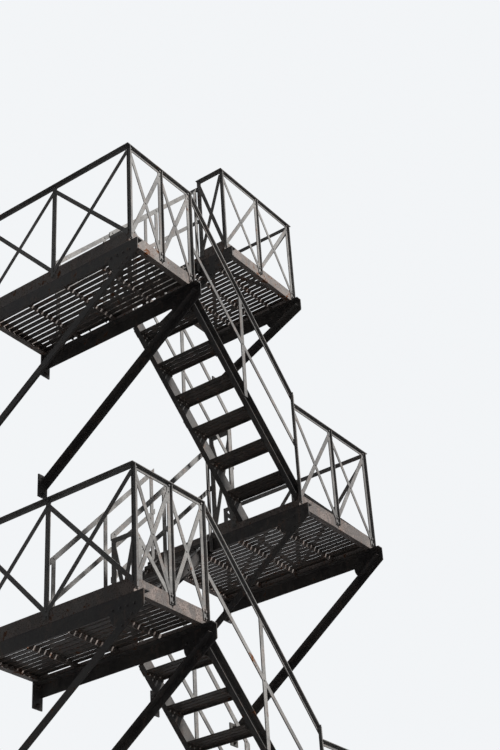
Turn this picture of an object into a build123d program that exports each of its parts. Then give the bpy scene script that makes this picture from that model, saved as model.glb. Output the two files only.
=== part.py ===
from build123d import *
import os
from math import atan2, cos, degrees, hypot

os.makedirs("parts", exist_ok=True)

# Fire escape stair on the outside of a building: three platforms stacked over each other at
# the floors, four landings half a storey above or below them, and a flight of steps from
# each level to the next. X runs along the wall to the right, Y into the wall, Z up. The
# wall's face is at Y = 0. The origin is the middle of the wall face of platform 1's left
# upper wall plate.

# Stair
HALF_STOREY = 1440.0
RISERS_A_FLIGHT = 7
GOING = 216.0
LANE_WIDTH = 610.0
WALL_CLEARANCE = 80.0

# Decks
PLATFORM_WIDTH = 780.0
LANDING_WIDTH = 1120.0
DECK_DEPTH = 1560.0
TOP_LANDING_DEPTH = 978.0
FASCIA_HEIGHT = 110.0
FRAME_LEG = 50.0
FRAME_THICKNESS = 8.0
BEARER_HEIGHT = 40.0
BEARERS = 5
SLAT_WIDTH = 40.0
SLAT_THICKNESS = 8.0
SLAT_PITCH = 56.0
SLAT_CLEARANCE = 3.0

# Brackets
CHORD_HEIGHT = 110.0
CHORD_REACH = 82.0
BRACKET_LEG = 60.0
BRACKET_THICKNESS = 8.0
STRUT_SLOPE = 0.715
TOP_STRUT_SLOPE = 0.47
STRUT_SETBACK = 50.0
STRUT_OVERLAP = 40.0
GUSSET_DROP = 170.0
GUSSET_SHARE = 0.6
GUSSET_HOLLOW = 30.0
WALL_PLATE_WIDTH = 100.0
WALL_PLATE_HEIGHT = 200.0
WALL_PLATE_THICKNESS = 12.0
WALL_BOLT_SPACING = 140.0
WALL_BOLT_RADIUS = 9.0

# Railings of the decks
RAIL_HEIGHT = 955.0
RAIL_LEG = 40.0
RAIL_OUTSTAND = 27.0
POST_LEG = 45.0
POST_OUTSTAND = 27.0
POST_THICKNESS = 6.0
MIDDLE_POST_WIDTH = 44.0
MIDDLE_POST_LEG = 22.0
BAR_WIDTH = 35.0
PANEL_FOOT = 30.0
CROSS_FOOT = 60.0
NEWEL_RISE = 105.0
PANEL_CLEARANCE = 0.5
CORNER_BAR_WIDTH = 36.0

# Flights
STRINGER_DEPTH = 100.0
STRINGER_FLANGE = 45.0
STRINGER_THICKNESS = 6.0
STRINGER_DROP = 28.0
STRINGER_FOOT = 110.0
TREAD_SLATS = 4
TREAD_SLAT_WIDTH = 38.0
TREAD_SLAT_PITCH = 48.0
TREAD_THICKNESS = 8.0
TREAD_END_BAR = 22.0
TREAD_NOSING = 26.0
TREAD_CLEAT_HEIGHT = 30.0
TREAD_CLEAT_THICKNESS = 6.0
TREAD_CLEARANCE = 0.3
MIDDLE_RAIL_HEAD = 430.0
MIDDLE_RAIL_FOOT = 585.0
INNER_RAIL_DROP = 70.0
INNER_MIDDLE_HEAD = 470.0
INNER_MIDDLE_FOOT = 620.0
FLIGHT_POST_WIDTH = 40.0
FLIGHT_POST_INSET = 40.0
RAIL_LAP = 30.0
FOOT_PLATE_LENGTH = 180.0
FOOT_PLATE_WIDTH = 75.0
FOOT_PLATE_THICKNESS = 10.0

# Places that follow from the sizes
riser = HALF_STOREY / RISERS_A_FLIGHT
run = GOING * (RISERS_A_FLIGHT - 1)
pitch = atan2(riser, GOING)
surface_rise = FRAME_THICKNESS + BEARER_HEIGHT + SLAT_THICKNESS
platform_left = -BRACKET_LEG / 2
platform_right = platform_left + PLATFORM_WIDTH
landing_left = platform_right + run
landing_right = landing_left + LANDING_WIDTH
front = -DECK_DEPTH
outer_lane = front + FRAME_THICKNESS
outer_lane_end = outer_lane + LANE_WIDTH
inner_lane_end = -WALL_CLEARANCE
inner_lane = inner_lane_end - LANE_WIDTH
top_front = -TOP_LANDING_DEPTH

# Each deck has its node's name, left and right edge, front edge, level in half storeys
# over platform 1, and the slope of its struts.
decks = [
    ("landing_1", landing_left, landing_right, front, -1, STRUT_SLOPE),
    ("platform_1", platform_left, platform_right, front, 0, STRUT_SLOPE),
    ("landing_2", landing_left, landing_right, front, 1, STRUT_SLOPE),
    ("platform_2", platform_left, platform_right, front, 2, STRUT_SLOPE),
    ("landing_3", landing_left, landing_right, front, 3, STRUT_SLOPE),
    ("platform_3", platform_left, platform_right, front, 4, STRUT_SLOPE),
    ("top_landing", landing_left, landing_right, top_front, 5, TOP_STRUT_SLOPE),
]

# Flight 1 stands on the ground. The odd flights stand in the inner lane and climb to the
# right, the even ones stand in the outer lane and climb to the left.
FLIGHTS = 7


def underside(level):
    """Height of the underside of a deck, with its level in half storeys over platform 1."""
    return WALL_PLATE_HEIGHT / 2 + level * HALF_STOREY


def facing_front(y):
    """The upright plane along the wall at y. Extruding goes away from the wall."""
    return Plane.XZ.offset(-y)


def facing_right(x):
    """The upright plane square to the wall at x. Extruding goes to the right."""
    return Plane.YZ.offset(x)


def bar(plane, start, end, width):
    """The outline of a flat bar from start to end, with both on its middle line."""
    across, up = end[0] - start[0], end[1] - start[1]
    with BuildSketch(plane) as outline:
        with Locations(((start[0] + end[0]) / 2, (start[1] + end[1]) / 2)):
            Rectangle(hypot(across, up), width, rotation=degrees(atan2(up, across)))
    return outline.sketch


def box(plane, low, high):
    """The outline of an upright rectangle between two opposite corners."""
    with BuildSketch(plane) as outline:
        with Locations(((low[0] + high[0]) / 2, (low[1] + high[1]) / 2)):
            Rectangle(high[0] - low[0], high[1] - low[1])
    return outline.sketch


def plumb_bar(plane, start, end, width):
    """The outline of a sloping bar with plumb ends, as wide as given square to its length."""
    across, up = end[0] - start[0], end[1] - start[1]
    half = width / 2 * hypot(across, up) / abs(across)
    with BuildSketch(plane) as outline:
        with BuildLine():
            Polyline((start[0], start[1] - half), (end[0], end[1] - half),
                     (end[0], end[1] + half), (start[0], start[1] + half), close=True)
        make_face()
    return outline.sketch


def write(part, name):
    part.label = name
    export_step(part, f"parts/{name}.step")


def deck_frame(left, right, edge, base):
    """Edge angles with their upright legs outside, and bearers on edge between them. At
    each flight the upright leg is only as high as the grating."""
    plate = base + FRAME_THICKNESS
    top = base + FASCIA_HEIGHT
    walking = base + surface_rise
    first = edge + FRAME_THICKNESS
    step = (-first - 2 * FRAME_THICKNESS) / (BEARERS - 1)
    beside_flights = ((outer_lane_end if edge == front else edge, inner_lane),
                      (inner_lane_end, 0))
    ends = ((left, ((edge, 0),) if left == platform_left else beside_flights),
            (right - FRAME_THICKNESS, ((edge, 0),) if right == landing_right else beside_flights))
    with BuildPart() as frame:
        for y in (edge, -FRAME_THICKNESS):
            extrude(box(facing_right(left), (y, base), (y + FRAME_THICKNESS, top)),
                    amount=right - left)
        for y in (edge, -FRAME_LEG):
            extrude(box(facing_right(left), (y, base), (y + FRAME_LEG, plate)),
                    amount=right - left)
        for x, spans in ends:
            extrude(box(facing_right(x), (edge, base), (0, walking)), amount=FRAME_THICKNESS)
            for start, end in spans:
                extrude(box(facing_right(x), (start, base), (end, top)),
                        amount=FRAME_THICKNESS)
        for x in (left, right - FRAME_LEG):
            extrude(box(facing_right(x), (edge, base), (0, plate)), amount=FRAME_LEG)
        for number in range(BEARERS):
            y = first + number * step
            extrude(box(facing_right(left), (y, plate),
                        (y + FRAME_THICKNESS, plate + BEARER_HEIGHT)), amount=right - left)
    return frame.part


def deck_grating(left, right, edge, base):
    """Flat slats that run square to the wall and lie on the bearers."""
    inside = right - left - 2 * (FRAME_THICKNESS + SLAT_CLEARANCE)
    count = int((inside - SLAT_WIDTH) / SLAT_PITCH) + 1
    length = -edge - 2 * (FRAME_THICKNESS + SLAT_CLEARANCE)
    with BuildPart() as grating:
        with BuildSketch(Plane.XY.offset(base + surface_rise - SLAT_THICKNESS)):
            with Locations(((left + right) / 2, edge / 2)):
                with GridLocations(SLAT_PITCH, SLAT_PITCH, count, 1):
                    Rectangle(SLAT_WIDTH, length)
        extrude(amount=SLAT_THICKNESS)
    return grating.part


def bay(plane, start, end, base):
    """Two crossed bars between two uprights."""
    low = base + CROSS_FOOT + BAR_WIDTH / 2
    high = base + RAIL_HEIGHT - RAIL_LEG - BAR_WIDTH / 2
    extrude(bar(plane, (start, low), (end, high), BAR_WIDTH), amount=POST_THICKNESS)
    extrude(bar(plane, (start, high), (end, low), BAR_WIDTH), amount=POST_THICKNESS)


def front_panel(left, right, edge, base):
    """Angles for the corner posts, the middle post and the top rail, all with one leg
    outwards, and a cross in each bay. The panel lies on the outside of the deck's edge. A
    post that is the foot of a flight's handrail is taller."""
    top = base + RAIL_HEIGHT
    foot = base + PANEL_FOOT
    plane = facing_front(edge)
    middle = (left + right) / 2
    newel = NEWEL_RISE if left == landing_left and edge == front else 0
    rail_start = left if newel else left - RAIL_OUTSTAND
    rail_end = right + RAIL_OUTSTAND if right == landing_right else right
    posts = ((left, left, newel), (right - POST_LEG, right - POST_THICKNESS, 0))
    with BuildPart() as panel:
        for start, leg, rise in posts:
            extrude(box(plane, (start, foot), (start + POST_LEG, top + rise)),
                    amount=POST_THICKNESS)
            extrude(box(plane, (leg, foot), (leg + POST_THICKNESS, top + rise)),
                    amount=POST_OUTSTAND)
        extrude(bar(plane, (middle, foot), (middle, top), MIDDLE_POST_WIDTH),
                amount=POST_THICKNESS)
        edge_line = middle + MIDDLE_POST_WIDTH / 2 - POST_THICKNESS / 2
        extrude(bar(plane, (edge_line, foot), (edge_line, top), POST_THICKNESS),
                amount=MIDDLE_POST_LEG)
        bay(plane, left + POST_LEG / 2, middle, base)
        bay(plane, middle, right - POST_LEG / 2, base)
        extrude(box(plane, (left, top - RAIL_LEG), (right, top)), amount=POST_THICKNESS)
        extrude(box(plane, (rail_start, top - POST_THICKNESS), (rail_end, top)),
                amount=RAIL_OUTSTAND)
    return panel.part


def end_panel(side, inward, start, end, base, bays, at_corner):
    """A railing square to the wall, on the outside of a deck's end. At a corner of the deck
    it starts with a bar on edge beside the front panel's post, elsewhere with a post."""
    top = base + RAIL_HEIGHT
    foot = base + PANEL_FOOT
    plane = facing_right(min(side, side - inward * POST_THICKNESS))
    outside = facing_right(min(side, side - inward * RAIL_OUTSTAND))
    corner = side - inward * POST_THICKNESS
    first = start if at_corner else start + POST_LEG / 2
    step = (end - POST_LEG / 2 - first) / bays
    posts = [first + number * step for number in range(1 if at_corner else 0, bays + 1)]
    with BuildPart() as panel:
        for number in range(bays):
            bay(plane, first + number * step, first + (number + 1) * step, base)
        for y in posts:
            extrude(bar(plane, (y, foot), (y, top), POST_LEG), amount=POST_THICKNESS)
        extrude(box(plane, (start, top - RAIL_LEG), (end, top)), amount=POST_THICKNESS)
        extrude(box(outside, (start, top - POST_THICKNESS), (end, top)), amount=RAIL_OUTSTAND)
        if at_corner:
            extrude(box(facing_right(min(corner, corner + inward * CORNER_BAR_WIDTH)),
                        (start, base + FASCIA_HEIGHT), (start + POST_THICKNESS, top)),
                    amount=CORNER_BAR_WIDTH)
        split(bisect_by=Plane.XZ.offset(-start), keep=Keep.BOTTOM)
    return panel.part


def deck_panels(left, right, edge, base):
    """The front panel, the end panel and the panel that closes the space between the lanes.
    On the top landing that last one reaches to the front, where no flight arrives."""
    on_left = left == platform_left
    corner = edge + PANEL_CLEARANCE
    closed, open_side, inward = (left, right, 1) if on_left else (right, left, -1)
    gap_start = outer_lane_end + FRAME_THICKNESS if edge == front else corner
    return [
        front_panel(left, right, edge, base),
        end_panel(closed, inward, corner, 0, base, 2 if edge == front else 1, True),
        end_panel(open_side, -inward, gap_start, inner_lane - FRAME_THICKNESS, base, 1,
                  edge > front),
    ]


def bracket(outer, inward, edge, base, slope):
    """A top chord, a strut, a hollow-edged gusset between them and two wall plates."""
    web = min(outer, outer + inward * BRACKET_THICKNESS)
    flange = min(outer, outer + inward * BRACKET_LEG)
    centre = outer + inward * BRACKET_LEG / 2
    plane = facing_right(web)
    wide = facing_right(flange)
    plate_face = -WALL_PLATE_THICKNESS
    tip = edge - CHORD_REACH
    under = base - CHORD_HEIGHT
    joint = tip + STRUT_SETBACK
    length = hypot(1, slope)
    way = (1 / length, -slope / length)
    start = (joint - STRUT_OVERLAP * way[0], under - STRUT_OVERLAP * way[1])
    foot = (plate_face, under - slope * (plate_face - joint))
    lift = (BRACKET_LEG - BRACKET_THICKNESS) / 2
    upper = [(point[0] - lift * way[1], point[1] + lift * way[0]) for point in (start, foot)]
    reach = GUSSET_DROP / slope
    low_corner = (joint + reach * GUSSET_SHARE, under - reach * GUSSET_SHARE * slope)
    with BuildPart() as piece:
        extrude(box(plane, (tip, under), (plate_face, base)), amount=BRACKET_THICKNESS)
        extrude(box(wide, (tip, base - BRACKET_THICKNESS), (plate_face, base)),
                amount=BRACKET_LEG)
        extrude(bar(plane, start, foot, BRACKET_LEG), amount=BRACKET_THICKNESS)
        extrude(bar(wide, upper[0], upper[1], BRACKET_THICKNESS), amount=BRACKET_LEG)
        with BuildSketch(plane) as gusset:
            with BuildLine():
                Polyline(low_corner, (joint, under), (joint + reach, under))
                SagittaArc((joint + reach, under), low_corner, GUSSET_HOLLOW)
            make_face()
        extrude(gusset.sketch, amount=BRACKET_THICKNESS)
        split(bisect_by=facing_front(plate_face), keep=Keep.TOP)
        for z in (base - WALL_PLATE_HEIGHT / 2, foot[1]):
            low = (centre - WALL_PLATE_WIDTH / 2, z - WALL_PLATE_HEIGHT / 2)
            high = (centre + WALL_PLATE_WIDTH / 2, z + WALL_PLATE_HEIGHT / 2)
            extrude(box(facing_front(0), low, high), amount=WALL_PLATE_THICKNESS)
        with BuildSketch(facing_front(0)) as holes:
            with Locations((centre, base - WALL_PLATE_HEIGHT / 2)):
                with GridLocations(WALL_BOLT_SPACING, WALL_BOLT_SPACING, 1, 2):
                    Circle(WALL_BOLT_RADIUS)
        extrude(holes.sketch, amount=WALL_PLATE_THICKNESS, mode=Mode.SUBTRACT)
    return piece.part


def deck_brackets(left, right, edge, level, slope):
    """The two brackets under the ends of a deck."""
    base = underside(level)
    return [bracket(left, 1, edge, base, slope), bracket(right, -1, edge, base, slope)]


class Flight:
    """Where one flight runs. A line along it is given by its heights over the undersides of
    the upper deck, at the head, and the lower deck, at the foot."""

    def __init__(self, number):
        climbs_right = number % 2 == 1
        self.base = underside(number - 3)
        self.way = 1 if climbs_right else -1
        self.low_x = platform_right if climbs_right else landing_left
        self.high_x = landing_left if climbs_right else platform_right
        self.on_front = not climbs_right
        self.lane = inner_lane if climbs_right else outer_lane
        drop = INNER_RAIL_DROP if climbs_right else 0
        self.handrail = (RAIL_HEIGHT - drop, RAIL_HEIGHT + NEWEL_RISE - drop)
        self.middle_rail = (MIDDLE_RAIL_HEAD, MIDDLE_RAIL_FOOT)
        if climbs_right:
            self.middle_rail = (INNER_MIDDLE_HEAD, INNER_MIDDLE_FOOT)

    def height(self, line, x):
        """Height of a line over x."""
        share = (x - self.low_x) / (self.high_x - self.low_x)
        return self.base + line[1] + share * (HALF_STOREY + line[0] - line[1])

    def beside_nosings(self, offset):
        """The line that lies at a distance square to the line through the nosings."""
        rise = surface_rise + offset / cos(pitch)
        return rise, rise + riser

    def sloped(self, plane, line, width, start, end):
        """The outline of a bar with plumb ends along a line."""
        return plumb_bar(plane, (start, self.height(line, start)),
                         (end, self.height(line, end)), width)


def stringer(flight, lane_edge, inward):
    """A channel on edge with its flanges outwards. Its foot is cut level and stands on the
    lower deck, or on a plate on the ground."""
    web = lane_edge + inward * STRINGER_FLANGE
    web_front = max(web, web - inward * STRINGER_THICKNESS)
    flange_front = max(lane_edge, web)
    middle = -STRINGER_DROP - STRINGER_DEPTH / 2
    edge = (STRINGER_DEPTH - STRINGER_THICKNESS) / 2
    toe = flight.low_x - flight.way * STRINGER_FOOT
    left, right = sorted((toe, flight.high_x))
    seat = flight.base + surface_rise
    on_ground = flight.base < underside(-1)
    if on_ground:
        seat += FOOT_PLATE_THICKNESS
    with BuildPart() as channel:
        extrude(flight.sloped(facing_front(web_front), flight.beside_nosings(middle),
                              STRINGER_DEPTH, left, right), amount=STRINGER_THICKNESS)
        for side in (edge, -edge):
            extrude(flight.sloped(facing_front(flange_front), flight.beside_nosings(middle + side),
                                  STRINGER_THICKNESS, left, right), amount=STRINGER_FLANGE)
        split(bisect_by=Plane.XY.offset(seat), keep=Keep.TOP)
        if on_ground:
            with BuildSketch(Plane.XY.offset(seat - FOOT_PLATE_THICKNESS)):
                with Locations((toe + flight.way * FOOT_PLATE_LENGTH / 3,
                                lane_edge + inward * STRINGER_FLANGE / 2)):
                    Rectangle(FOOT_PLATE_LENGTH, FOOT_PLATE_WIDTH)
            extrude(amount=FOOT_PLATE_THICKNESS)
    return channel.part


def stringers(flight):
    return [stringer(flight, flight.lane, 1), stringer(flight, flight.lane + LANE_WIDTH, -1)]


def tread(flight, step):
    """Slats along the step with a bar and a bolted cleat at each end, and a turned-down
    nosing."""
    nosing = flight.high_x - flight.way * step * GOING
    depth = (TREAD_SLATS - 1) * TREAD_SLAT_PITCH + TREAD_SLAT_WIDTH
    front_edge, back_edge = sorted((nosing, nosing + flight.way * depth))
    top = flight.base + surface_rise + HALF_STOREY - step * riser
    under = top - TREAD_THICKNESS
    start = flight.lane + STRINGER_FLANGE + TREAD_CLEARANCE
    end = flight.lane + LANE_WIDTH - STRINGER_FLANGE - TREAD_CLEARANCE
    gap = TREAD_SLAT_PITCH - TREAD_SLAT_WIDTH
    slit = end - start - 2 * TREAD_END_BAR
    lip = nosing if flight.way > 0 else nosing - TREAD_THICKNESS
    with BuildPart() as piece:
        with BuildSketch(Plane.XY.offset(under)):
            with Locations(((front_edge + back_edge) / 2, (start + end) / 2)):
                Rectangle(depth, end - start)
                with GridLocations(TREAD_SLAT_PITCH, TREAD_SLAT_PITCH, TREAD_SLATS - 1, 1):
                    Rectangle(gap, slit, mode=Mode.SUBTRACT)
        extrude(amount=TREAD_THICKNESS)
        extrude(box(facing_right(lip), (start, top - TREAD_NOSING), (end, under)),
                amount=TREAD_THICKNESS)
        for y in (start + TREAD_CLEAT_THICKNESS, end):
            extrude(box(facing_front(y), (front_edge, under - TREAD_CLEAT_HEIGHT),
                        (back_edge, under)), amount=TREAD_CLEAT_THICKNESS)
    return piece.part


def flight_railing(flight, lane_edge, outward, flanged, laps):
    """A sloping handrail and middle rail, bolted to the outside of the stringer's flanges.
    The rails either lap behind the decks' corner posts or have end posts of their own."""
    plane = facing_front(max(lane_edge, lane_edge + outward * FRAME_THICKNESS))
    lap = flight.way * RAIL_LAP if laps else 0
    start, end = flight.low_x - lap, flight.high_x + lap
    toe_line = flight.beside_nosings(-STRINGER_DROP - STRINGER_DEPTH)
    posts = [(flight.low_x + flight.high_x) / 2]
    if not laps:
        inset = flight.way * FLIGHT_POST_INSET
        posts += [flight.low_x + inset, flight.high_x - inset]
    head, foot = flight.handrail
    web_line = (head - RAIL_LEG / 2, foot - RAIL_LEG / 2)
    with BuildPart() as railing:
        extrude(flight.sloped(plane, web_line, RAIL_LEG, start, end), amount=FRAME_THICKNESS)
        extrude(flight.sloped(plane, flight.middle_rail, BAR_WIDTH, start, end),
                amount=FRAME_THICKNESS)
        for x in posts:
            low = flight.height(toe_line, x) + FLIGHT_POST_WIDTH / 2
            high = flight.height(web_line, x)
            extrude(bar(plane, (x, low), (x, high), FLIGHT_POST_WIDTH), amount=FRAME_THICKNESS)
        if flanged:
            lip = facing_front(max(lane_edge, lane_edge + outward * RAIL_OUTSTAND))
            lip_line = (head - FRAME_THICKNESS / 2, foot - FRAME_THICKNESS / 2)
            extrude(flight.sloped(lip, lip_line, FRAME_THICKNESS, flight.low_x, flight.high_x),
                    amount=RAIL_OUTSTAND)
    return railing.part


def railings(flight):
    """The railings on both sides of a flight. The handrails at the front and at the wall
    have a flange that points away from the flight."""
    outer, inner = flight.lane, flight.lane + LANE_WIDTH
    return [flight_railing(flight, outer, -1, flight.on_front, flight.on_front),
            flight_railing(flight, inner, 1, not flight.on_front, False)]


for name, left, right, edge, level, slope in decks:
    base = underside(level)
    write(deck_frame(left, right, edge, base), f"{name}_frame")
    write(deck_grating(left, right, edge, base), f"{name}_grating")
    write(Compound(children=deck_panels(left, right, edge, base)), f"{name}_railings")

groups = {
    "platform_brackets": [deck for deck in decks if deck[1] == platform_left],
    "landing_brackets": [deck for deck in decks if deck[0].startswith("landing")],
    "top_landing_brackets": [deck for deck in decks if deck[0] == "top_landing"],
}
for name, members in groups.items():
    pieces = []
    for _, left, right, edge, level, slope in members:
        pieces += deck_brackets(left, right, edge, level, slope)
    write(Compound(children=pieces), name)

for number in range(1, FLIGHTS + 1):
    flight = Flight(number)
    write(Compound(children=stringers(flight)), f"flight_{number}_stringers")
    steps = [tread(flight, step) for step in range(1, RISERS_A_FLIGHT)]
    write(Compound(children=steps), f"flight_{number}_treads")
    write(Compound(children=railings(flight)), f"flight_{number}_railings")
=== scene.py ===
import bpy
from collections import namedtuple
from math import atan2, cos, hypot, pi, radians, sin
from mathutils import Matrix, Vector
from random import Random


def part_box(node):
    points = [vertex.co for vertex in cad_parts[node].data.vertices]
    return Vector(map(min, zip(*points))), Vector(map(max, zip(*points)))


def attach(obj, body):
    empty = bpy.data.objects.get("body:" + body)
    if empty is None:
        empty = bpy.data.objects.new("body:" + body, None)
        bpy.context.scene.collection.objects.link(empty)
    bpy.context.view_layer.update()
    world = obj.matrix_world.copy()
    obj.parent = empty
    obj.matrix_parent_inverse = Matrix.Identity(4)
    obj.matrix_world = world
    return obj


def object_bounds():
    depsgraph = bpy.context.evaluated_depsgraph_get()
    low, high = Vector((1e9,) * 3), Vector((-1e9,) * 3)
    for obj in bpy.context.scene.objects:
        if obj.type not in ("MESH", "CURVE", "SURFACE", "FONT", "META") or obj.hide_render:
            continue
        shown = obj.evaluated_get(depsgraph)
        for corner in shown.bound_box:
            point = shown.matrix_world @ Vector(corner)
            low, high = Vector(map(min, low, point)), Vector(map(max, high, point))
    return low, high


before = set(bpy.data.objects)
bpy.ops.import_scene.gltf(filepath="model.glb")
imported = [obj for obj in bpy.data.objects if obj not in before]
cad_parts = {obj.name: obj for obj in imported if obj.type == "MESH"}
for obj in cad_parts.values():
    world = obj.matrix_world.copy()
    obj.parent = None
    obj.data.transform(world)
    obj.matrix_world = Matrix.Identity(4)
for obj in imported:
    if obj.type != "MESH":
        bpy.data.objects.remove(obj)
cad_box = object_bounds()

# The photograph's camera, in metres in the frame of the part. The heading turns from +Y
# towards +X, and the lens and the sensor are in millimetres.
CAMERA_PLACE = Vector((-6.742, -7.160, -1.010))
CAMERA_HEADING = radians(55.71)
CAMERA_PITCH = radians(32.74)
CAMERA_ROLL = radians(-3.83)
LENS = 70.14
SENSOR = 36
FURTHEST_SEEN = 200

# Lamps: the way that each shines, its strength, how wide it looks and its colour
SUN_WAY = Vector((-0.42, 0.90, -0.80))
SUN_STRENGTH = 4.3
SUN_SPREAD = radians(5)
SUN_COLOUR = (1.0, 0.975, 0.94)
BACK_LIGHT_WAY = Vector((-0.55, -0.75, -0.45))
BACK_LIGHT_STRENGTH = 1.7
BACK_LIGHT_SPREAD = radians(40)
BACK_LIGHT_COLOUR = (1, 1, 1)

# The studio is pale where it is seen itself, and dim for the rays that light the stair
WORLD_COLOUR = (0.96, 0.98, 1.0)
FILL_STRENGTH = 0.046
BACKDROP_STRENGTH = 0.93
FLOOR_SIZE = 90
FLOOR_CLEARANCE = 0.001
FLOOR_SEEN = (0.73, 0.75, 0.79)
FLOOR_LIGHTING = (0.06, 0.06, 0.06)
FLOOR_ROUGHNESS = 0.9
FLOOR_GLOSS = 0.2

# The steel of each kind of node: its paint's colours, new and faded, and how much rust, bare
# edges and brown stains it shows. The decks rust most, and the steps are walked bare. The frame
# and the railings, whose faces catch the sun, have a lighter grey paint that stands for the sun's
# sheen on black paint, a painted sheen; the brackets, grating, stringers and treads, which lie in
# shade, have a darker paint, a painted shade.
Steel = namedtuple("Steel", "name paint faded rust wear stain")
STEELS = {
    "frame": Steel("deck", (0.17, 0.155, 0.15), (0.37, 0.34, 0.325),
                   rust=1.0, wear=0.6, stain=1.0),
    "grating": Steel("grating", (0.060, 0.056, 0.054), (0.14, 0.13, 0.122),
                     rust=0.75, wear=0.9, stain=0.5),
    "railings": Steel("railing", (0.180, 0.179, 0.180), (0.38, 0.378, 0.372),
                      rust=0.45, wear=0.5, stain=0.35),
    "brackets": Steel("bracket", (0.060, 0.058, 0.060), (0.13, 0.126, 0.122),
                      rust=0.5, wear=0.4, stain=0.3),
    "stringers": Steel("stringer", (0.070, 0.069, 0.071), (0.15, 0.147, 0.145),
                       rust=0.45, wear=0.4, stain=0.3),
    "treads": Steel("tread", (0.065, 0.062, 0.060), (0.15, 0.14, 0.132),
                    rust=0.55, wear=1.0, stain=0.4),
}

# What lies on the paint or shows through it, and the tints of the faded paint that its
# flecks and stains have
WASH = (0.235, 0.175, 0.150)
PIT = (0.062, 0.050, 0.046)
DUST = (0.190, 0.181, 0.170)
DARK_RUST = (0.075, 0.028, 0.014)
BRIGHT_RUST = (0.30, 0.125, 0.055)
BARE_STEEL = (0.36, 0.34, 0.32)
FLECK_TINT = (1.35, 1.33, 1.30)
STAIN_TINT = (0.95, 0.79, 0.73)

# How the surface shines and stands out. The edges' radius and the relief are in metres.
PAINT_GLOSS = 0.09
RUST_ROUGHNESS = 0.9
EDGE_RADIUS = 0.0028
RELIEF_STRENGTH = 0.55
RELIEF_HEIGHT = 0.0018

# Sizes in metres, counts and slopes that the solids have
FRAME_THICKNESS = 0.008
SURFACE_RISE = 0.056
RAIL_HEIGHT = 0.955
RAIL_LEG = 0.040
POST_LEG = 0.045
POST_THICKNESS = 0.006
BAR_WIDTH = 0.035
CROSS_FOOT = 0.060
PANEL_CLEARANCE = 0.0005
NEWEL_RISE = 0.105
BEARERS = 5
BEARER_HEIGHT = 0.040
SLAT_WIDTH = 0.040
SLAT_PITCH = 0.056
SLAT_CLEARANCE = 0.003
CHORD_HEIGHT = 0.110
CHORD_REACH = 0.082
BRACKET_LEG = 0.060
BRACKET_THICKNESS = 0.008
STRUT_SETBACK = 0.050
STRUT_SLOPE = 0.715
TOP_STRUT_SLOPE = 0.47
GUSSET_DROP = 0.170
PLATE_THICKNESS = 0.012
PLATE_HEIGHT = 0.200
ANCHOR_SPACING = 0.140
FLIGHTS = 7
RISERS_A_FLIGHT = 7
GOING = 0.216
LANE_WIDTH = 0.610
STRINGER_DEPTH = 0.100
STRINGER_FLANGE = 0.045
STRINGER_THICKNESS = 0.006
STRINGER_DROP = 0.028
STRINGER_FOOT = 0.110
TREAD_THICKNESS = 0.008
CLEAT_HEIGHT = 0.030
CLEAT_THICKNESS = 0.006
TREAD_CLEARANCE = 0.0003
INNER_RAIL_DROP = 0.070
OUTER_MIDDLE_RAIL = (0.430, 0.585)
INNER_MIDDLE_RAIL = (0.470, 0.620)
FLIGHT_POST_WIDTH = 0.040
FLIGHT_POST_INSET = 0.040
FOOT_PLATE_THICKNESS = 0.010

# Fasteners, in metres. A size is the radius, over the corners of a head, and the height.
POST_BOLT = (0.0098, 0.0070)
TREAD_BOLT = (0.0090, 0.0064)
ANCHOR_NUT = (0.0139, 0.0130)
ANCHOR_STUD = (0.0078, 0.0260)
RIVET = (0.0085, 0.0055)
GUSSET_RIVET = (0.0110, 0.0075)
WASHER_THICKNESS = 0.0022
WELD_RADIUS = 0.0042
WELD_RIPPLE = 0.0045
SLAT_WELD = 0.026

# A washer's radius as a share of its head's, and a weld's radius between its ripples and at
# its ends as shares of its own
WASHER_SHARE = 1.28
WELD_WAIST = 0.74
WELD_TIP = 0.3

# Profiles of turned forms from the foot up, in shares of the radius and of the height
WASHER_PROFILE = ((1, 0), (1, 0.7), (0.96, 1))
HEAD_PROFILE = ((1, 0), (1, 0.78), (0.84, 1))
STUD_PROFILE = ((1, 0), (1, 0.93), (0.8, 1))
RIVET_PROFILE = ((1, 0), (0.96, 0.3), (0.82, 0.62), (0.56, 0.87), (0.24, 1))
WASHER_SIDES = 18
HEAD_SIDES = 6
ROUND_SIDES = 12
WELD_CORNERS = 5
SHARP_ANGLE = radians(38)

# Where the fasteners sit on their pieces, in metres or in shares of the gusset's length
POST_BOLT_RISES = (0.045, 0.094)
CROSS_RIVET_RISE = 0.036
CROSS_RIVET_DROP = 0.012
CHORD_RIVET_RISE = 0.030
CHORD_RIVET_SHARES = (0.12, 0.38, 0.64, 0.90)
STRUT_RIVET_SHARES = (0.22, 0.40, 0.56)
CHORD_BOLT_INSET = 0.036
FRONT_CHORD_BOLT = 0.160
BACK_CHORD_BOLT = 0.200
CHORD_WELD_MARGIN = 0.004
STRUT_WELD_MARGIN = 0.010
TREAD_BOLT_SETBACKS = (0.052, 0.130)
FOOT_BOLT_REACH = 0.016

DECKS = ("landing_1", "platform_1", "landing_2", "platform_2", "landing_3", "platform_3",
         "top_landing")
X, Y, Z = Vector((1, 0, 0)), Vector((0, 1, 0)), Vector((0, 0, 1))
chance = Random(11)


# Nodes

def add(tree, kind, inputs=(), **settings):
    """A node with its settings. An input takes a value or what another node works out."""
    node = tree.nodes.new(kind)
    for name, value in settings.items():
        setattr(node, name, value)
    for name, value in dict(inputs).items():
        if isinstance(value, Number):
            value = value.socket
        if isinstance(value, bpy.types.NodeSocket):
            tree.links.new(value, node.inputs[name])
        else:
            node.inputs[name].default_value = value
    return node


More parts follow.
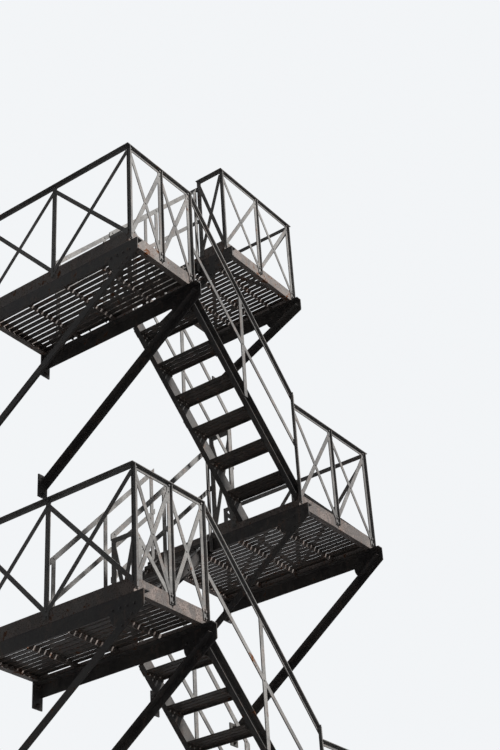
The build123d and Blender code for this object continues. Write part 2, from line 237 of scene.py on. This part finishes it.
class Number:
    """A number that nodes work out, so that formulas can be written with it."""

    def __init__(self, socket):
        self.socket = socket

    def worked(self, operation, other):
        node = add(self.socket.id_data, "ShaderNodeMath", {0: self, 1: other},
                   operation=operation)
        return Number(node.outputs[0])

    def __add__(self, other):
        return self.worked("ADD", other)

    def __mul__(self, other):
        return self.worked("MULTIPLY", other)

    def larger(self, other):
        return self.worked("MAXIMUM", other)

    def ranged(self, low, high, to_low, to_high, smooth=False):
        """Turns low to high into to_low to to_high, and stays there beyond them."""
        node = add(self.socket.id_data, "ShaderNodeMapRange",
                   {"Value": self, "From Min": low, "From Max": high, "To Min": to_low,
                    "To Max": to_high}, interpolation_type="SMOOTHSTEP" if smooth else "LINEAR")
        return Number(node.outputs[0])

    def steps(self, none, full):
        """Is 0 at none and 1 at full, smoothly."""
        return self.ranged(none, full, 0, 1, smooth=True)


def between(tree, share, first, second):
    """A colour from first to second. Each is a colour's three values or what a node gives.
    A mix node's colours are its inputs 6 and 7, and its plain numbers are 2 and 3."""
    first, second = [(*end, 1) if isinstance(end, tuple) else end for end in (first, second)]
    return add(tree, "ShaderNodeMix", {0: share, 6: first, 7: second},
               data_type="RGBA").outputs[2]


def seen_directly(tree):
    """1 for rays that show the background itself, 0 for rays that light the object."""
    path = add(tree, "ShaderNodeLightPath").outputs
    seen = Number(path["Is Camera Ray"]).larger(path["Is Glossy Ray"])
    return seen.larger(path["Is Transmission Ray"])


def noise(where, scale, detail, roughness=0.6, distortion=0.0):
    node = add(where.id_data, "ShaderNodeTexNoise",
               {"Vector": where, "Scale": scale, "Detail": detail, "Roughness": roughness,
                "Distortion": distortion})
    return Number(node.outputs[0])


# Camera, floor and light

def camera():
    ahead = Vector((sin(CAMERA_HEADING) * cos(CAMERA_PITCH),
                    cos(CAMERA_HEADING) * cos(CAMERA_PITCH), sin(CAMERA_PITCH)))
    right = Vector((cos(CAMERA_HEADING), -sin(CAMERA_HEADING), 0))
    up = right.cross(ahead)
    across = cos(CAMERA_ROLL) * right + sin(CAMERA_ROLL) * up
    over = -sin(CAMERA_ROLL) * right + cos(CAMERA_ROLL) * up
    turn = Matrix((across, over, -ahead)).transposed().to_4x4()
    data = bpy.data.cameras.new("photo_camera")
    data.lens = LENS
    data.sensor_width = SENSOR
    data.clip_end = FURTHEST_SEEN
    made = bpy.data.objects.new("photo_camera", data)
    made.matrix_world = Matrix.Translation(CAMERA_PLACE) @ turn
    bpy.context.scene.collection.objects.link(made)
    bpy.context.scene.camera = made


def floor():
    bpy.ops.mesh.primitive_plane_add(size=FLOOR_SIZE,
                                     location=(0, 0, cad_box[0][2] - FLOOR_CLEARANCE))
    ground = bpy.context.object
    ground.name = "stage_floor"
    made = bpy.data.materials.new("stage_pale")
    made.use_nodes = True
    tree = made.node_tree
    shader = tree.nodes["Principled BSDF"]
    shader.inputs["Roughness"].default_value = FLOOR_ROUGHNESS
    shader.inputs["Specular IOR Level"].default_value = FLOOR_GLOSS
    colour = between(tree, seen_directly(tree), FLOOR_LIGHTING, FLOOR_SEEN)
    tree.links.new(colour, shader.inputs["Base Color"])
    ground.data.materials.append(made)


def distant_light(name, way, strength, spread, colour):
    sun = bpy.data.lights.new(name, "SUN")
    sun.energy = strength
    sun.angle = spread
    sun.color = colour
    holder = bpy.data.objects.new(name, sun)
    holder.rotation_euler = way.to_track_quat("-Z", "Y").to_euler()
    bpy.context.scene.collection.objects.link(holder)


def lights():
    world = bpy.data.worlds.new("studio")
    world.use_nodes = True
    tree = world.node_tree
    background = tree.nodes["Background"]
    background.inputs["Color"].default_value = (*WORLD_COLOUR, 1)
    strength = seen_directly(tree).ranged(0, 1, FILL_STRENGTH, BACKDROP_STRENGTH)
    tree.links.new(strength.socket, background.inputs["Strength"])
    bpy.context.scene.world = world
    distant_light("sun", SUN_WAY, SUN_STRENGTH, SUN_SPREAD, SUN_COLOUR)
    distant_light("back_light", BACK_LIGHT_WAY, BACK_LIGHT_STRENGTH, BACK_LIGHT_SPREAD,
                  BACK_LIGHT_COLOUR)


# Materials

class Surface:
    """The patterns on one steel, from noises whose scale is in waves a metre, and its worn
    edges, dust and rust."""

    def __init__(self, tree, steel):
        where = add(tree, "ShaderNodeTexCoord").outputs["Object"]
        drawn_down = add(tree, "ShaderNodeMapping", {"Vector": where, "Scale": (26, 26, 1.7)})
        self.broad = noise(where, 1.7, detail=3)
        self.patches = noise(where, 13, detail=8, roughness=0.66, distortion=0.4)
        self.specks = noise(where, 120, detail=6, roughness=0.7)
        self.streaks = noise(drawn_down.outputs[0], 1.0, detail=4)
        self.blots = noise(where, 7.5, detail=6, roughness=0.62, distortion=0.9)
        self.pits = noise(where, 95, detail=5, roughness=0.66)

        shape = add(tree, "ShaderNodeNewGeometry").outputs
        self.rounded = add(tree, "ShaderNodeBevel", {"Radius": EDGE_RADIUS}, samples=4).outputs[0]
        flatness = Number(add(tree, "ShaderNodeVectorMath", {0: self.rounded, 1: shape["Normal"]},
                              operation="DOT_PRODUCT").outputs["Value"])
        upward = Number(add(tree, "ShaderNodeSeparateXYZ", {0: shape["True Normal"]}).outputs["Z"])
        self.edge = flatness.steps(0.995, 0.86)
        self.dust = upward.steps(0.55, 0.95) * self.patches.steps(0.35, 0.60)
        bitten = self.patches + self.broad * 0.35 + self.edge * (0.10 + 0.12 * steel.wear)
        self.rust = bitten.steps(0.90 - 0.14 * steel.rust, 0.97 - 0.14 * steel.rust)


def painted(tree, surface, steel):
    """Old paint that has faded and chalked unevenly, with pale flecks."""
    chalk = surface.broad * 0.55 + surface.patches * 0.45
    # The paint's two colours carry painted light: lighter for the frame and railings, a painted
    # sheen, and darker for the other steels, a painted shade
    colour = between(tree, chalk.steps(0.40, 0.62), steel.paint, steel.faded)
    flecks = tuple(value * tint for value, tint in zip(steel.faded, FLECK_TINT))
    return between(tree, surface.specks.steps(0.50, 0.72) * 0.45, colour, flecks)


def soiled(tree, surface, steel, colour):
    """Rusty water that has run down, brown stains, dark pits, and dust on what faces up."""
    runs = surface.streaks * 0.5 + surface.patches * 0.5
    wash = runs.steps(0.58 - 0.12 * steel.rust, 0.70 - 0.08 * steel.rust) * 0.6
    colour = between(tree, wash, colour, WASH)
    stains = surface.blots.steps(0.57 - 0.05 * steel.stain, 0.69 - 0.06 * steel.stain)
    colour = between(tree, stains * (0.35 + 0.40 * steel.stain), colour,
                     tuple(steel.faded[0] * tint for tint in STAIN_TINT))
    crowding = surface.patches.ranged(0.38, 0.58, 0.35, 1.0)
    pits = surface.pits.steps(0.505, 0.405) * crowding * (0.30 + 0.55 * steel.stain)
    colour = between(tree, pits, colour, PIT)
    return between(tree, surface.dust * 0.35, colour, DUST)


def rusted(tree, surface, steel, colour):
    """Rust in patches and along the edges, and edges that are rubbed bare."""
    rust = between(tree, surface.specks.steps(0.35, 0.68), DARK_RUST, BRIGHT_RUST)
    colour = between(tree, surface.rust, colour, rust)
    bared = surface.edge * steel.wear * surface.specks.steps(0.52, 0.60)
    return between(tree, bared, colour, BARE_STEEL)


def weathered_steel(steel):
    """Old paint over steel, matt where rust or dust lies, with a fine relief."""
    made = bpy.data.materials.new(f"{steel.name}_paint")
    made.use_nodes = True
    tree = made.node_tree
    shader = tree.nodes["Principled BSDF"]
    shader.inputs["Specular IOR Level"].default_value = PAINT_GLOSS
    surface = Surface(tree, steel)
    colour = soiled(tree, surface, steel, painted(tree, surface, steel))
    tree.links.new(rusted(tree, surface, steel, colour), shader.inputs["Base Color"])

    sheen = surface.patches.ranged(0.3, 0.7, 0.40, 0.58)
    matt = add(tree, "ShaderNodeMix", {0: surface.rust.larger(surface.dust), 2: sheen,
                                       3: RUST_ROUGHNESS}, data_type="FLOAT")
    tree.links.new(matt.outputs[0], shader.inputs["Roughness"])

    height = surface.patches * 0.7 + surface.specks * 0.5 * (surface.rust + 0.35)
    relief = add(tree, "ShaderNodeBump", {"Strength": RELIEF_STRENGTH, "Distance": RELIEF_HEIGHT,
                                          "Height": height, "Normal": surface.rounded})
    tree.links.new(relief.outputs[0], shader.inputs["Normal"])
    return made


def paint_all():
    """Paints the solids, each kind of node with its own steel, and returns the paints."""
    paints = {kind: weathered_steel(steel) for kind, steel in STEELS.items()}
    for name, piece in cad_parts.items():
        piece.data.materials.clear()
        piece.data.materials.append(paints[name.rsplit("_", 1)[1]])
    return paints


# Shapes of fasteners, each as points and faces, standing on the XY plane

def turned(profile, size, sides, foot=0.0):
    """A profile turned about +Z from its foot, closed at the top."""
    radius, height = size
    points = [Vector((radius * out * cos(2 * pi * side / sides),
                      radius * out * sin(2 * pi * side / sides), foot + height * up))
              for out, up in profile for side in range(sides)]
    faces = [(ring * sides + side, ring * sides + (side + 1) % sides,
              (ring + 1) * sides + (side + 1) % sides, (ring + 1) * sides + side)
             for ring in range(len(profile) - 1) for side in range(sides)]
    faces.append(tuple(range((len(profile) - 1) * sides, len(profile) * sides)))
    return points, faces


def joined(*shapes):
    """Several shapes as one."""
    points, faces = [], []
    for more_points, more_faces in shapes:
        start = len(points)
        points += more_points
        faces += [tuple(start + corner for corner in face) for face in more_faces]
    return points, faces


def hex_bolt(size):
    washer = turned(WASHER_PROFILE, (size[0] * WASHER_SHARE, WASHER_THICKNESS), WASHER_SIDES)
    return joined(washer, turned(HEAD_PROFILE, size, HEAD_SIDES, WASHER_THICKNESS))


def anchor():
    """A washer, a nut and the end of the stud that comes through it."""
    return joined(hex_bolt(ANCHOR_NUT), turned(STUD_PROFILE, ANCHOR_STUD, ROUND_SIDES))


def rivet(size):
    return turned(RIVET_PROFILE, size, ROUND_SIDES)


def bead(length):
    """A weld bead along +X, half round, that swells with each ripple."""
    rings = 2 * max(2, round(length / WELD_RIPPLE)) + 1
    points = []
    for ring in range(rings):
        size = WELD_RADIUS if ring % 2 else WELD_RADIUS * WELD_WAIST
        if ring in (0, rings - 1):
            size = WELD_RADIUS * WELD_TIP
        for corner in range(WELD_CORNERS):
            turn = pi * corner / (WELD_CORNERS - 1)
            points.append(Vector((length * ring / (rings - 1), size * cos(turn),
                                  size * sin(turn))))
    faces = [(ring * WELD_CORNERS + corner, ring * WELD_CORNERS + corner + 1,
              (ring + 1) * WELD_CORNERS + corner + 1, (ring + 1) * WELD_CORNERS + corner)
             for ring in range(rings - 1) for corner in range(WELD_CORNERS - 1)]
    return points, faces


def stood(shape, place, way):
    """A shape set down at a place with its +Z along a way, turned about it by chance."""
    points, faces = shape
    turn = way.to_track_quat("Z", "Y").to_matrix() @ Matrix.Rotation(
        chance.uniform(0, 2 * pi), 3, "Z")
    return [place + turn @ point for point in points], faces


def run_bead(start, end, away):
    """A bead from start to end whose round back points away."""
    along = (end - start).normalized()
    across = away.cross(along).normalized()
    turn = Matrix((along, across, along.cross(across))).transposed()
    points, faces = bead((end - start).length)
    return [start + turn @ point for point in points], faces


def plate(outer, inward, outline):
    """A plate as thick as a bracket's web, from an outline in Y and Z that runs
    anticlockwise as seen from +X."""
    count = len(outline)
    points = [Vector((x, y, z)) for x in (outer, outer + inward * BRACKET_THICKNESS)
              for y, z in outline]
    faces = [tuple(reversed(range(count))), tuple(range(count, 2 * count))]
    for corner in range(count):
        after = (corner + 1) % count
        faces.append((corner, after, count + after, count + corner))
    return points, faces if inward > 0 else [tuple(reversed(face)) for face in faces]


def make(name, shapes, kind, paints):
    """Joins shapes into one piece of a kind's steel that is fixed to the stair."""
    points, faces = joined(*shapes)
    mesh = bpy.data.meshes.new(name)
    mesh.from_pydata([tuple(point) for point in points], [], faces)
    mesh.polygons.foreach_set("use_smooth", [True] * len(mesh.polygons))
    mesh.set_sharp_from_angle(angle=SHARP_ANGLE)
    mesh.materials.append(paints[kind])
    piece = bpy.data.objects.new(name, mesh)
    bpy.context.scene.collection.objects.link(piece)
    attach(piece, "root")


# Fasteners of the decks

class Deck:
    """Where one deck lies, as the solids have it."""

    def __init__(self, name):
        low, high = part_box(f"{name}_frame")
        self.name = name
        self.left, self.front, self.base = low
        self.right = high.x
        self.on_left = name.startswith("platform")
        self.is_top = name == "top_landing"
        self.slope = TOP_STRUT_SLOPE if self.is_top else STRUT_SLOPE
        self.cross_low = self.base + CROSS_FOOT + BAR_WIDTH / 2
        self.cross_high = self.base + RAIL_HEIGHT - RAIL_LEG - BAR_WIDTH / 2
        self.rail = self.base + RAIL_HEIGHT - RAIL_LEG / 2


def panel_fasteners(deck, posts, crossings, at, out):
    """Bolts through the posts of one panel and rivets through its crossed bars. The
    function at gives the point on the panel's face for a distance along it and a height."""
    bolt, stud = hex_bolt(POST_BOLT), rivet(RIVET)
    bolt_heights = [deck.base + rise for rise in POST_BOLT_RISES] + [deck.rail]
    stud_heights = (deck.cross_low + CROSS_RIVET_RISE, deck.cross_high - CROSS_RIVET_DROP)
    middle = (deck.cross_low + deck.cross_high) / 2
    shapes = []
    for along in posts:
        shapes += [stood(bolt, at(along, height), out) for height in bolt_heights]
        shapes += [stood(stud, at(along, height), out) for height in stud_heights]
    return shapes + [stood(stud, at(along, middle), out) for along in crossings]


def middles(values):
    """The middle between each value and the next."""
    return [(first + second) / 2 for first, second in zip(values, values[1:])]


def front_fasteners(deck):
    gauge = (POST_LEG + POST_THICKNESS) / 2
    middle_post = (deck.left + deck.right) / 2 - POST_THICKNESS / 2
    posts = [deck.left + gauge, middle_post, deck.right - gauge]
    return panel_fasteners(deck, posts, middles(posts),
                           lambda x, z: Vector((x, deck.front - POST_THICKNESS, z)), -Y)


def end_fasteners(deck, side, outward, start, end, bays, at_corner):
    """Fasteners of a panel at a deck's end, from start to end along Y. A panel at a corner
    starts at the front panel's corner post, which has its own bolts."""
    first = start if at_corner else start + POST_LEG / 2
    step = (end - POST_LEG / 2 - first) / bays
    lines = [first + number * step for number in range(bays + 1)]
    posts = lines[1:] if at_corner else lines
    face = side + outward * POST_THICKNESS
    return panel_fasteners(deck, posts, middles(lines), lambda y, z: Vector((face, y, z)),
                           outward * X)


def deck_railing_fasteners(deck, outer_lane_end, inner_lane):
    """Fasteners of a deck's three panels: the front, the closed end, and the end that is
    open to the two lanes."""
    corner = deck.front + PANEL_CLEARANCE
    closed, open_side = (deck.left, deck.right) if deck.on_left else (deck.right, deck.left)
    outward = -1 if deck.on_left else 1
    gap_start = corner if deck.is_top else outer_lane_end + FRAME_THICKNESS
    shapes = front_fasteners(deck)
    shapes += end_fasteners(deck, closed, outward, corner, 0, 1 if deck.is_top else 2, True)
    shapes += end_fasteners(deck, open_side, -outward, gap_start, inner_lane - FRAME_THICKNESS,
                            1, deck.is_top)
    return shapes


class Bracket:
    """Where the bracket at one end of a deck lies, as the solids have it. The sides are its
    web's outer and inner face, each with the way that it faces."""

    def __init__(self, deck, outer, inward):
        self.deck = deck
        self.outer = outer
        self.inward = inward
        self.sides = ((Vector((outer, 0, 0)), -inward),
                      (Vector((outer + inward * BRACKET_THICKNESS, 0, 0)), inward))
        self.under = deck.base - CHORD_HEIGHT
        self.joint = deck.front - CHORD_REACH + STRUT_SETBACK
        self.wall = -PLATE_THICKNESS
        self.foot = self.under - deck.slope * (self.wall - self.joint)


def gusset_rivets(bracket):
    """A row along the chord and a row along the strut, on both sides."""
    slope = bracket.deck.slope
    reach = GUSSET_DROP / slope
    spots = [(bracket.joint + reach * share, bracket.under + CHORD_RIVET_RISE)
             for share in CHORD_RIVET_SHARES]
    spots += [(bracket.joint + reach * share, bracket.under - reach * share * slope)
              for share in STRUT_RIVET_SHARES]
    return [stood(rivet(GUSSET_RIVET), side + Vector((0, y, z)), away * X)
            for y, z in spots for side, away in bracket.sides]


def chord_bolts(bracket):
    """Bolts up through the chord's level leg into the deck's frame."""
    front = bracket.deck.front
    x = bracket.outer + bracket.inward * CHORD_BOLT_INSET
    z = bracket.deck.base - BRACKET_THICKNESS
    return [stood(hex_bolt(POST_BOLT), Vector((x, y, z)), -Z)
            for y in (front + FRONT_CHORD_BOLT, front / 2, -BACK_CHORD_BOLT)]


def wall_anchors(bracket):
    """Two anchors in each of the two wall plates."""
    x = bracket.outer + bracket.inward * BRACKET_LEG / 2
    return [stood(anchor(), Vector((x, bracket.wall, middle + side * ANCHOR_SPACING / 2)), -Y)
            for middle in (bracket.deck.base - PLATE_HEIGHT / 2, bracket.foot)
            for side in (-1, 1)]


def wall_ends(bracket):
    """The corner that makes the strut's square end plumb, and the welds that hold the chord
    and the strut to their wall plates."""
    slope, wall, foot = bracket.deck.slope, bracket.wall, bracket.foot
    length = hypot(1, slope)
    half = BRACKET_LEG / 2 * length
    square = (wall - BRACKET_LEG / 2 * slope / length, foot - BRACKET_LEG / 2 / length)
    shapes = [plate(bracket.outer, bracket.inward, ((wall, foot), square, (wall, foot - half)))]
    chord_top = bracket.deck.base - BRACKET_THICKNESS
    runs = ((bracket.under + CHORD_WELD_MARGIN, chord_top - CHORD_WELD_MARGIN),
            (foot - half, foot + half - STRUT_WELD_MARGIN))
    for side, away in bracket.sides:
        for low, high in runs:
            shapes.append(run_bead(side + Vector((0, wall, low)), side + Vector((0, wall, high)),
                                   Vector((away, -1, 0)).normalized()))
    return shapes


def bracket_fasteners(deck):
    shapes = []
    for outer, inward in ((deck.left, 1), (deck.right, -1)):
        bracket = Bracket(deck, outer, inward)
        shapes += gusset_rivets(bracket)
        shapes += chord_bolts(bracket)
        shapes += wall_anchors(bracket)
        shapes += wall_ends(bracket)
    return shapes


def grating_welds(deck):
    """Short beads under each slat, on the free sides of each bearer."""
    inside = deck.right - deck.left - 2 * (FRAME_THICKNESS + SLAT_CLEARANCE)
    count = int((inside - SLAT_WIDTH) / SLAT_PITCH) + 1
    centre = (deck.left + deck.right) / 2
    slats = [centre + (number - (count - 1) / 2) * SLAT_PITCH for number in range(count)]
    first = deck.front + FRAME_THICKNESS
    step = (-first - 2 * FRAME_THICKNESS) / (BEARERS - 1)
    height = deck.base + FRAME_THICKNESS + BEARER_HEIGHT
    sides = []
    for number in range(BEARERS):
        y = first + number * step
        if number > 0:
            sides.append((y, -1))
        if number < BEARERS - 1:
            sides.append((y + FRAME_THICKNESS, 1))
    return [run_bead(Vector((x - SLAT_WELD / 2, face, height)),
                     Vector((x + SLAT_WELD / 2, face, height)),
                     Vector((0, side, -1)).normalized())
            for face, side in sides for x in slats]


# Fasteners of the flights

class Flight:
    """Where one flight runs, as the solids have it. The edges are those of its lane, each
    with the way in from it."""

    def __init__(self, number, decks):
        climbs_right = number % 2 == 1
        landing, platform = decks[0], decks[1]
        self.number = number
        self.half_storey = platform.base - landing.base
        self.base = landing.base + (number - 2) * self.half_storey
        self.riser = self.half_storey / RISERS_A_FLIGHT
        self.way = 1 if climbs_right else -1
        self.low_x = platform.right if climbs_right else landing.left
        self.high_x = landing.left if climbs_right else platform.right
        self.on_front = not climbs_right
        self.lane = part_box(f"flight_{number}_treads")[0].y - STRINGER_FLANGE - TREAD_CLEARANCE
        self.edges = ((self.lane, 1), (self.lane + LANE_WIDTH, -1))
        self.lean = atan2(self.riser, GOING)
        self.toe = self.low_x - self.way * STRINGER_FOOT
        drop = INNER_RAIL_DROP if climbs_right else 0
        middle_rail = INNER_MIDDLE_RAIL if climbs_right else OUTER_MIDDLE_RAIL
        web = RAIL_HEIGHT - drop - RAIL_LEG / 2
        self.rails = ((web, web + NEWEL_RISE), middle_rail)

    def height(self, line, x):
        """How high a line is at x. The line is its rise over the upper and the lower deck."""
        share = (x - self.low_x) / (self.high_x - self.low_x)
        return self.base + line[1] + share * (self.half_storey + line[0] - line[1])

    def beside_nosings(self, offset):
        """The line at an offset from the nosings' line, square to it."""
        rise = SURFACE_RISE + offset / cos(self.lean)
        return rise, rise + self.riser


def tread_fasteners(flight):
    """Two bolts through each end cleat, with their heads inside and their nuts outside."""
    shapes = []
    bolt = hex_bolt(TREAD_BOLT)
    for step in range(1, RISERS_A_FLIGHT):
        nosing = flight.high_x - flight.way * step * GOING
        height = (flight.base + SURFACE_RISE + flight.half_storey - step * flight.riser
                  - TREAD_THICKNESS - CLEAT_HEIGHT / 2)
        for edge, inward in flight.edges:
            inside = edge + inward * (STRINGER_FLANGE + TREAD_CLEARANCE + CLEAT_THICKNESS)
            outside = edge + inward * (STRINGER_FLANGE - STRINGER_THICKNESS)
            for setback in TREAD_BOLT_SETBACKS:
                x = nosing + flight.way * setback
                shapes.append(stood(bolt, Vector((x, inside, height)), inward * Y))
                shapes.append(stood(bolt, Vector((x, outside, height)), -inward * Y))
    return shapes


def flight_rail_fasteners(flight, edge, outward, laps):
    """Rivets where the rails cross their posts, and welds where the posts stand. A railing
    that laps over the decks' railings has no end posts."""
    posts = [(flight.low_x + flight.high_x) / 2]
    if not laps:
        inset = flight.way * FLIGHT_POST_INSET
        posts += [flight.low_x + inset, flight.high_x - inset]
    faces = ((edge + outward * FRAME_THICKNESS, outward), (edge, -outward))
    reach = FLIGHT_POST_WIDTH / 2
    shapes = []
    for x in posts:
        for line in flight.rails:
            for y, side in faces:
                shapes.append(stood(rivet(RIVET), Vector((x, y, flight.height(line, x))),
                                    side * Y))
        for offset, lift in ((-STRINGER_DROP, 1), (-STRINGER_DROP - STRINGER_DEPTH, -1)):
            line = flight.beside_nosings(offset)
            ends = [Vector((along, edge, flight.height(line, along)))
                    for along in (x - reach, x + reach)]
            shapes.append(run_bead(*ends, Vector((0, -outward, lift)).normalized()))
    return shapes


def stringer_welds(flight):
    """Beads at the head, where each stringer's web meets the upper deck's bracket."""
    x = flight.high_x
    top = flight.beside_nosings(-STRINGER_DROP - STRINGER_THICKNESS)
    foot = flight.beside_nosings(-STRINGER_DROP - STRINGER_DEPTH + STRINGER_THICKNESS)
    shapes = []
    for edge, inward in flight.edges:
        web = edge + inward * STRINGER_FLANGE
        for y, side in ((web, inward), (web - inward * STRINGER_THICKNESS, -inward)):
            shapes.append(run_bead(Vector((x, y, flight.height(foot, x))),
                                   Vector((x, y, flight.height(top, x))),
                                   Vector((-flight.way, side, 0)).normalized()))
    return shapes


def foot_bolts(flight):
    """A bolt through each plate that the lowest flight's stringers stand on."""
    x = flight.toe - flight.way * FOOT_BOLT_REACH
    z = flight.base + SURFACE_RISE + FOOT_PLATE_THICKNESS
    return [stood(hex_bolt(POST_BOLT), Vector((x, edge + inward * STRINGER_FLANGE / 2, z)), Z)
            for edge, inward in flight.edges]


# Pieces

def deck_pieces(deck, outer_lane_end, inner_lane, paints):
    make(f"{deck.name}_railing_bolts", deck_railing_fasteners(deck, outer_lane_end, inner_lane),
         "railings", paints)
    make(f"{deck.name}_bracket_bolts", bracket_fasteners(deck), "brackets", paints)
    make(f"{deck.name}_grating_welds", grating_welds(deck), "grating", paints)


def flight_pieces(flight, paints):
    name = f"flight_{flight.number}"
    make(f"{name}_tread_bolts", tread_fasteners(flight), "treads", paints)
    rails = []
    for edge, inward in flight.edges:
        rails += flight_rail_fasteners(flight, edge, -inward, flight.on_front and inward > 0)
    make(f"{name}_railing_rivets", rails, "railings", paints)
    welds = stringer_welds(flight)
    if flight.number == 1:
        welds += foot_bolts(flight)
    make(f"{name}_stringer_welds", welds, "stringers", paints)


def fasteners(paints):
    decks = [Deck(name) for name in DECKS]
    flights = [Flight(number, decks) for number in range(1, FLIGHTS + 1)]
    inner, outer = flights[0], flights[1]
    for deck in decks:
        deck_pieces(deck, outer.lane + LANE_WIDTH, inner.lane, paints)
    for flight in flights:
        flight_pieces(flight, paints)


camera()
floor()
lights()
fasteners(paint_all())
bpy.context.scene.view_settings.view_transform = "Standard"
